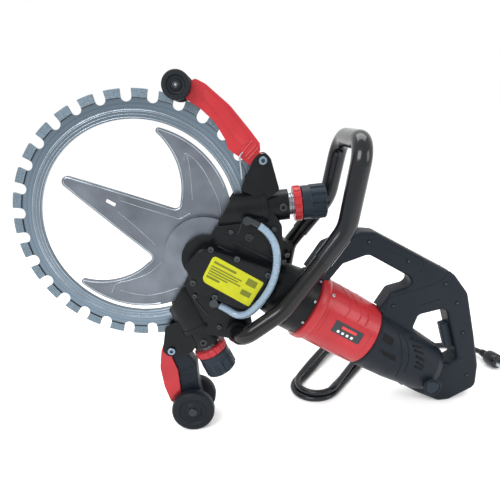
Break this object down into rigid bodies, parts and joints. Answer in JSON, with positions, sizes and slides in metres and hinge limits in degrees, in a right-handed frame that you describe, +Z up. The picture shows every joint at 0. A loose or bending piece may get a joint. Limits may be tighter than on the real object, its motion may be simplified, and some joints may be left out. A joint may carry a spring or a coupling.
{
  "type": "electric ring saw",
  "caption": "Hand-held electric ring saw: a rim-driven cutting ring with three-finger centre plate, adjustable guide rollers, swinging guards on wheels, loop handle and D-grip rear handle.",
  "frame": {"origin": "on the floor under the middle of the saw's length and width, its cord left out", "axes": "+X from the cutting ring to the rear handle, +Y across the saw to the side away from the drive cover, +Z up"},
  "size_m": [0.7443, 0.2542, 0.5236],
  "materials": {
    "ring_steel": "fine turned lines",
    "segment_alloy": "sintered",
    "cast_aluminium": "polished casting",
    "black_casting": "semi-gloss",
    "bright_steel": "turned",
    "spring_steel": "bright",
    "black_screw": "oiled black",
    "red_plastic": "satin",
    "black_plastic": "satin",
    "handle_plastic": "fine spark texture",
    "belt_rubber": "matt",
    "wheel_rubber": "satin",
    "grip_rubber": "glossy",
    "cord_rubber": "satin",
    "black_tube": "powder coat",
    "lamination": "varnished",
    "carbon": "matt",
    "clear_hose": "translucent"
  },
  "bodies": {
    "frame": {"center_plate": "cast_aluminium", "front_casing": "black_casting", "rear_casing": "black_casting", "upper_guide_housing": "black_casting", "lower_guide_housing": "black_casting", "threaded_sleeves": "bright_steel", "guide_springs": "spring_steel", "drive_belt": "belt_rubber", "ball_bearings": "bright_steel", "drive_cover": "black_casting", "case_screws": "black_screw", "gear_case": "black_casting", "motor_flange": "black_casting", "motor_housing": "red_plastic", "stator": "lamination", "brushes": "carbon", "handle_left": "handle_plastic", "handle_right": "handle_plastic", "switch_body": "black_plastic", "cord_gland": "cord_rubber", "power_cord": "cord_rubber", "cord_hank": "cord_rubber", "plug": "cord_rubber", "loop_handle": "black_tube", "grip_sleeve": "grip_rubber", "handle_clamps": "black_casting", "guard_brackets": "black_casting", "hinge_pins": "bright_steel", "guard_spring": "spring_steel", "water_fittings": "black_plastic", "water_hose": "clear_hose"},
    "ring": {"ring_blade": "ring_steel", "ring_segments": "segment_alloy"},
    "drive": {"drive_wheel": "bright_steel", "drive_shaft": "bright_steel"},
    "countershaft": {"layshaft": "bright_steel", "bevel_gear": "bright_steel"},
    "rotor": {"armature_shaft": "bright_steel", "armature_core": "lamination", "fan": "black_plastic"},
    "upper_plunger": {"upper_carriage": "bright_steel"},
    "lower_plunger": {"lower_carriage": "bright_steel"},
    "upper_front_wheel": {"upper_front_roller": "bright_steel"},
    "upper_rear_wheel": {"upper_rear_roller": "bright_steel"},
    "lower_front_wheel": {"lower_front_roller": "bright_steel"},
    "lower_rear_wheel": {"lower_rear_roller": "bright_steel"},
    "upper_adjuster": {"upper_knob": "black_plastic"},
    "lower_adjuster": {"lower_knob": "black_plastic"},
    "upper_lock": {"upper_lock_ring": "red_plastic"},
    "lower_lock": {"lower_lock_ring": "red_plastic"},
    "guard": {"upper_guard": "red_plastic", "tip_axle": "bright_steel"},
    "tip_pair": {"tip_wheels": "wheel_rubber"},
    "leg": {"leg_arm": "black_casting", "leg_shell": "red_plastic", "leg_axle": "bright_steel"},
    "leg_pair": {"leg_wheels": "wheel_rubber"},
    "switch_lever": {"trigger": "black_plastic"},
    "dial": {"speed_dial": "black_plastic"},
    "valve": {"valve_lever": "red_plastic"}
  },
  "joints": [
    {"name": "ring_spin", "type": "hinge", "parent": "frame", "child": "ring", "pos_m": [-0.1542, 0, 0.33516], "axis": [0, 1, 0], "continuous": true},
    {"name": "drive_spin", "type": "hinge", "parent": "frame", "child": "drive", "pos_m": [-0.06916, 0, 0.27529], "axis": [0, 1, 0], "continuous": true},
    {"name": "layshaft_spin", "type": "hinge", "parent": "frame", "child": "countershaft", "pos_m": [0.00076, 0, 0.23216], "axis": [0, 1, 0], "continuous": true},
    {"name": "armature_spin", "type": "hinge", "parent": "frame", "child": "rotor", "pos_m": [0.09397, 0, 0.16653], "axis": [0.8176, 0, -0.5757], "continuous": true},
    {"name": "upper_knob_turn", "type": "hinge", "parent": "upper_plunger", "child": "upper_adjuster", "pos_m": [0.0908, 0, 0.33623], "axis": [1, 0, 0.0044], "range_deg": [0, 720]},
    {"name": "upper_carriage_slide", "type": "slide", "parent": "frame", "child": "upper_plunger", "axis": [1, 0, 0.0044], "range_m": [0, 0.00599]},
    {"name": "upper_lock_turn", "type": "hinge", "parent": "frame", "child": "upper_lock", "pos_m": [0.0678, 0, 0.33613], "axis": [1, 0, 0.0044], "range_deg": [0, 90]},
    {"name": "upper_front_roller_spin", "type": "hinge", "parent": "upper_plunger", "child": "upper_front_wheel", "pos_m": [-0.0007, -0.0117, 0.33583], "axis": [1, 0, 0.0044], "continuous": true},
    {"name": "upper_rear_roller_spin", "type": "hinge", "parent": "upper_plunger", "child": "upper_rear_wheel", "pos_m": [-0.0007, 0.0117, 0.33583], "axis": [1, 0, 0.0044], "continuous": true},
    {"name": "lower_knob_turn", "type": "hinge", "parent": "lower_plunger", "child": "lower_adjuster", "pos_m": [-0.07262, 0, 0.10414], "axis": [0.333, 0, -0.9429], "range_deg": [0, 720]},
    {"name": "lower_carriage_slide", "type": "slide", "parent": "frame", "child": "lower_plunger", "axis": [0.333, 0, -0.9429], "range_m": [0, 0.00599]},
    {"name": "lower_lock_turn", "type": "hinge", "parent": "frame", "child": "lower_lock", "pos_m": [-0.08028, 0, 0.12583], "axis": [0.333, 0, -0.9429], "range_deg": [0, 90]},
    {"name": "lower_front_roller_spin", "type": "hinge", "parent": "lower_plunger", "child": "lower_front_wheel", "pos_m": [-0.10309, -0.0117, 0.19042], "axis": [0.333, 0, -0.9429], "continuous": true},
    {"name": "lower_rear_roller_spin", "type": "hinge", "parent": "lower_plunger", "child": "lower_rear_wheel", "pos_m": [-0.10309, 0.0117, 0.19042], "axis": [0.333, 0, -0.9429], "continuous": true},
    {"name": "guard_swing", "type": "hinge", "parent": "frame", "child": "guard", "pos_m": [0.0249, 0, 0.40107], "axis": [0, 1, 0], "range_deg": [0, 75], "stiffness_Nm_per_rad": 0.25, "springref_deg": -28.65},
    {"name": "tip_wheel_spin", "type": "hinge", "parent": "guard", "child": "tip_pair", "pos_m": [-0.07549, 0, 0.50514], "axis": [0, 1, 0], "continuous": true},
    {"name": "leg_swing", "type": "hinge", "parent": "frame", "child": "leg", "pos_m": [-0.13623, 0, 0.13661], "axis": [0, 1, 0], "range_deg": [0, 75]},
    {"name": "leg_wheel_spin", "type": "hinge", "parent": "leg", "child": "leg_pair", "pos_m": [-0.11745, 0, 0.03301], "axis": [0, 1, 0], "continuous": true},
    {"name": "trigger_pull", "type": "slide", "parent": "frame", "child": "switch_lever", "axis": [0.9751, 0, 0.2219], "range_m": [0, 0.005], "stiffness_N_per_m": 400, "springref_m": -0.003},
    {"name": "dial_turn", "type": "hinge", "parent": "frame", "child": "dial", "pos_m": [0.24492, -0.042, 0.04741], "axis": [0, 1, 0], "range_deg": [0, 270]},
    {"name": "valve_turn", "type": "hinge", "parent": "frame", "child": "valve", "pos_m": [0.02473, 0.037, 0.28011], "axis": [0, 1, 0], "range_deg": [0, 90]}
  ],
  "couplings": [
    {"joint": "drive_spin", "follows": "ring_spin", "ratio": 4.1707},
    {"joint": "layshaft_spin", "follows": "ring_spin", "ratio": 4.1707},
    {"joint": "armature_spin", "follows": "ring_spin", "ratio": -10.427},
    {"joint": "upper_knob_turn", "follows": "upper_carriage_slide", "rad_per_m": 2096.4},
    {"joint": "upper_front_roller_spin", "follows": "ring_spin", "ratio": -15.3},
    {"joint": "upper_rear_roller_spin", "follows": "ring_spin", "ratio": 15.3},
    {"joint": "lower_knob_turn", "follows": "lower_carriage_slide", "rad_per_m": 2096.4},
    {"joint": "lower_front_roller_spin", "follows": "ring_spin", "ratio": -15.3},
    {"joint": "lower_rear_roller_spin", "follows": "ring_spin", "ratio": 15.3}
  ]
}
